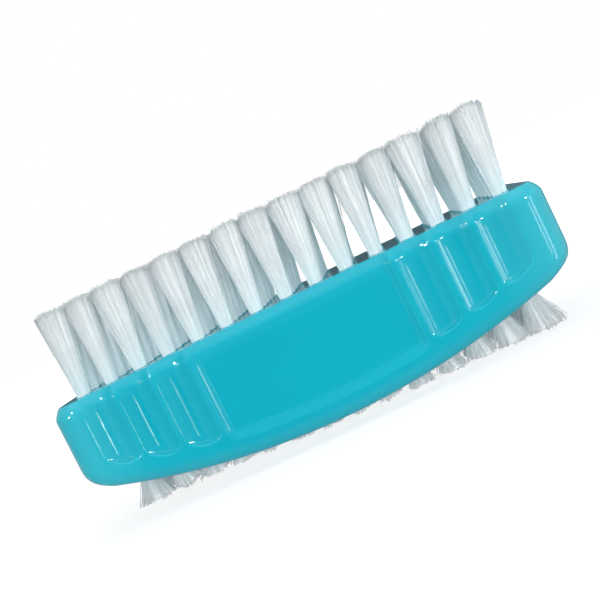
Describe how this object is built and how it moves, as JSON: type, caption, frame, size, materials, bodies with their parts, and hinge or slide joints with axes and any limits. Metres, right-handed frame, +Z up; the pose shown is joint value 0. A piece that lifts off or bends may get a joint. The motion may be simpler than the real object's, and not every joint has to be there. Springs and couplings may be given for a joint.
{
  "type": "nail brush",
  "caption": "Double-sided hand brush: grooved moulded handle with a long bristle field on top and a short one below.",
  "frame": {"origin": "centre of the brush's footprint in plan, at the level of the short bristles' trimmed tips, on which it stands", "axes": "+X along the handle, +Y across it, +Z up towards the tips of the long bristles"},
  "size_m": [0.0974, 0.036, 0.0428],
  "materials": {
    "handle_plastic": "glossy injection-moulded teal plastic, slightly translucent at thin edges",
    "upper_bristle": "milky white nylon filaments, satin sheen",
    "lower_bristle": "milky white nylon filaments, satin sheen",
    "anchor_brass": "plain sheared brass strip"
  },
  "bodies": {
    "root": {"body": "handle_plastic", "upper_tufts_row_1": "upper_bristle", "upper_tufts_row_2": "upper_bristle", "upper_tufts_row_3": "upper_bristle", "upper_tufts_row_4": "upper_bristle", "upper_tufts_row_5": "upper_bristle", "lower_tufts_row_1": "lower_bristle", "lower_tufts_row_2": "lower_bristle", "lower_tufts_row_3": "lower_bristle", "lower_tufts_row_4": "lower_bristle", "upper_anchors_row_1": "anchor_brass", "upper_anchors_row_2": "anchor_brass", "upper_anchors_row_3": "anchor_brass", "upper_anchors_row_4": "anchor_brass", "upper_anchors_row_5": "anchor_brass", "lower_anchors_row_1": "anchor_brass", "lower_anchors_row_2": "anchor_brass", "lower_anchors_row_3": "anchor_brass", "lower_anchors_row_4": "anchor_brass"}
  },
  "joints": []
}
